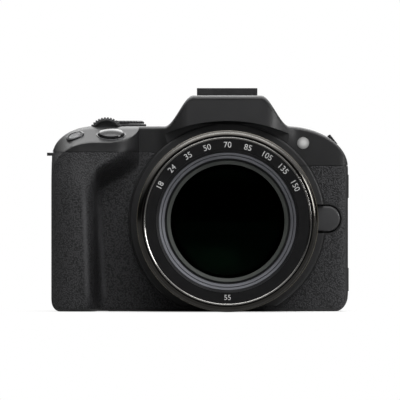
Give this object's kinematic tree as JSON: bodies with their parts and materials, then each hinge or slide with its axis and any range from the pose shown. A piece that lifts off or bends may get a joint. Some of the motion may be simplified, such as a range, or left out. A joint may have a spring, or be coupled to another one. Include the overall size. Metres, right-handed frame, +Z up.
{
  "type": "mirrorless camera with zoom lens",
  "caption": "Compact interchangeable-lens camera with a deep grip, viewfinder hump, pop-up flash, hinged rear screen and a telescoping zoom lens with turning rings.",
  "frame": {"origin": "mouth of the tripod socket in the base, straight below the lens axis", "axes": "+X to the right as seen from the front, +Y from the lens towards the viewer, +Z up"},
  "size_m": [0.1164, 0.1378, 0.0859],
  "materials": {
    "body_plastic": "fine grained black moulding",
    "skin": "leather-grain rubber skin",
    "lens_plastic": "satin black lens moulding",
    "ring_rubber": "ribbed rubber",
    "control_metal": "satin dark grey with a bright bevel",
    "button_gloss": "dark satin metal look",
    "button_plastic": "smooth black",
    "steel": "turned and plated",
    "magnesium": "die-cast",
    "gold": "gold plated",
    "lens_glass": "coated optical glass",
    "clear_plastic": "clear or milky window",
    "screen_glass": "black cover glass",
    "board": "green circuit board",
    "sensor": "filter glass over silicon",
    "card_blue": "plastic card"
  },
  "bodies": {
    "body": {"front_cover": "body_plastic", "top_cover": "body_plastic", "rear_cover": "body_plastic", "base_plate": "body_plastic", "grip_skin": "skin", "front_skin": "skin", "thumb_skin": "skin", "lens_mount": "steel", "mount_screws": "steel", "mount_contacts": "gold", "chassis": "magnesium", "shutter_frame": "button_plastic", "image_sensor": "sensor", "sensor_board": "board", "main_board": "board", "battery": "body_plastic", "memory_card": "card_blue", "card_slot": "steel", "flash_capacitor": "steel", "tripod_socket": "steel", "hot_shoe": "steel", "viewfinder_unit": "body_plastic", "eyepiece_lens": "lens_glass", "eyecup": "skin", "strap_lugs": "steel", "focus_lamp": "clear_plastic", "hinge_pins": "steel", "cover_screws": "steel", "lens_bayonet": "steel", "lens_barrel": "lens_plastic", "rear_optics": "lens_glass"},
    "flash": {"flash_cover": "body_plastic", "flash_window": "clear_plastic"},
    "screen": {"screen_shell": "body_plastic", "screen_glass": "screen_glass"},
    "front_barrel": {"front_barrel": "lens_plastic", "name_ring": "lens_plastic", "front_element": "lens_glass"},
    "shutter_curtain": {"shutter_curtain": "button_plastic"},
    "shutter_button": {"shutter_button": "button_gloss"},
    "movie_button": {"movie_button": "button_gloss"},
    "main_dial": {"main_dial": "button_plastic"},
    "mode_dial": {"mode_dial": "button_plastic"},
    "power_lever": {"power_lever": "button_plastic"},
    "release_button": {"release_button": "button_plastic"},
    "menu_button": {"menu_button": "button_plastic"},
    "info_button": {"info_button": "button_plastic"},
    "playback_button": {"playback_button": "button_plastic"},
    "lock_button": {"lock_button": "button_plastic"},
    "direction_pad": {"direction_pad": "button_plastic"},
    "set_button": {"set_button": "button_plastic"},
    "diopter_dial": {"diopter_dial": "button_plastic"},
    "battery_door": {"battery_door": "body_plastic"},
    "battery_latch": {"battery_latch": "button_plastic"},
    "usb_cover": {"usb_cover": "body_plastic"},
    "microphone_cover": {"microphone_cover": "body_plastic"},
    "zoom_ring": {"zoom_ring": "ring_rubber"},
    "control_ring": {"control_ring": "control_metal"},
    "middle_barrel": {"middle_barrel": "lens_plastic"},
    "focus_group": {"focus_group": "lens_glass"}
  },
  "joints": [
    {"name": "shutter_press", "type": "slide", "parent": "body", "child": "shutter_button", "axis": [0, 0.342, -0.9397], "range_m": [0, 0.0012], "stiffness_N_per_m": 600},
    {"name": "movie_press", "type": "slide", "parent": "body", "child": "movie_button", "axis": [0.3214, 0.342, -0.883], "range_m": [0, 0.0004], "stiffness_N_per_m": 600},
    {"name": "release_press", "type": "slide", "parent": "body", "child": "release_button", "axis": [0, 1, 0], "range_m": [0, 0.0015], "stiffness_N_per_m": 800},
    {"name": "menu_press", "type": "slide", "parent": "body", "child": "menu_button", "axis": [0, -1, 0], "range_m": [0, 0.0007], "stiffness_N_per_m": 600},
    {"name": "info_press", "type": "slide", "parent": "body", "child": "info_button", "axis": [0, -1, 0], "range_m": [0, 0.0007], "stiffness_N_per_m": 600},
    {"name": "playback_press", "type": "slide", "parent": "body", "child": "playback_button", "axis": [0, -1, 0], "range_m": [0, 0.0007], "stiffness_N_per_m": 600},
    {"name": "lock_press", "type": "slide", "parent": "body", "child": "lock_button", "axis": [0, -1, 0], "range_m": [0, 0.0007], "stiffness_N_per_m": 600},
    {"name": "set_press", "type": "slide", "parent": "body", "child": "set_button", "axis": [0, -1, 0], "range_m": [0, 0.0006], "stiffness_N_per_m": 600},
    {"name": "pad_tilt", "type": "hinge", "parent": "body", "child": "direction_pad", "pos_m": [-0.046, 0.0155, 0.03], "axis": [1, 0, 0], "range_deg": [-3, 3], "stiffness_Nm_per_rad": 0.08},
    {"name": "main_dial_turn", "type": "hinge", "parent": "body", "child": "main_dial", "pos_m": [-0.0465, -0.0083, 0.0677], "axis": [0, -1, 0], "continuous": true},
    {"name": "mode_dial_turn", "type": "hinge", "parent": "body", "child": "mode_dial", "pos_m": [-0.041, 0.0046, 0.0712], "axis": [0, 0, 1], "continuous": true},
    {"name": "power_turn", "type": "hinge", "parent": "body", "child": "power_lever", "pos_m": [-0.041, 0.0046, 0.0712], "axis": [0, 0, 1], "range_deg": [0, 40]},
    {"name": "diopter_turn", "type": "hinge", "parent": "body", "child": "diopter_dial", "pos_m": [-0.0164, 0.027, 0.0622], "axis": [0, 1, 0], "range_deg": [-120, 120]},
    {"name": "flash_raise", "type": "hinge", "parent": "body", "child": "flash", "pos_m": [0, -0.0071, 0.0817], "axis": [-1, 0, 0], "range_deg": [0, 55]},
    {"name": "screen_open", "type": "hinge", "parent": "body", "child": "screen", "pos_m": [0.0453, 0.0184, 0.03], "axis": [0, 0, -1], "range_deg": [0, 175]},
    {"name": "battery_door_open", "type": "hinge", "parent": "body", "child": "battery_door", "pos_m": [-0.0444, -0.0037, 0.00108], "axis": [0, -1, 0], "range_deg": [0, 95]},
    {"name": "battery_latch_slide", "type": "slide", "parent": "battery_door", "child": "battery_latch", "axis": [1, 0, 0], "range_m": [0, 0.0024], "stiffness_N_per_m": 300},
    {"name": "usb_cover_open", "type": "hinge", "parent": "body", "child": "usb_cover", "pos_m": [-0.0669, 0.0006, 0.032], "axis": [0, 0, 1], "range_deg": [0, 100]},
    {"name": "microphone_cover_open", "type": "hinge", "parent": "body", "child": "microphone_cover", "pos_m": [0.0458, -0.0064, 0.028], "axis": [0, 0, -1], "range_deg": [0, 100]},
    {"name": "zoom_turn", "type": "hinge", "parent": "body", "child": "zoom_ring", "pos_m": [0, -0.06, 0.0347], "axis": [0, -1, 0], "range_deg": [0, 80]},
    {"name": "middle_barrel_slide", "type": "slide", "parent": "body", "child": "middle_barrel", "axis": [0, -1, 0], "range_m": [0, 0.023]},
    {"name": "front_barrel_slide", "type": "slide", "parent": "middle_barrel", "child": "front_barrel", "axis": [0, -1, 0], "range_m": [0, 0.023]},
    {"name": "control_turn", "type": "hinge", "parent": "body", "child": "control_ring", "pos_m": [0, -0.086, 0.0347], "axis": [0, -1, 0], "continuous": true},
    {"name": "focus_slide", "type": "slide", "parent": "body", "child": "focus_group", "axis": [0, -1, 0], "range_m": [-0.003, 0.007]},
    {"name": "shutter_fire", "type": "slide", "parent": "body", "child": "shutter_curtain", "axis": [0, 0, 1], "range_m": [0, 0.0174]}
  ],
  "couplings": [
    {"joint": "middle_barrel_slide", "follows": "zoom_turn", "m_per_rad": 0.016473},
    {"joint": "front_barrel_slide", "follows": "zoom_turn", "m_per_rad": 0.016473}
  ]
}
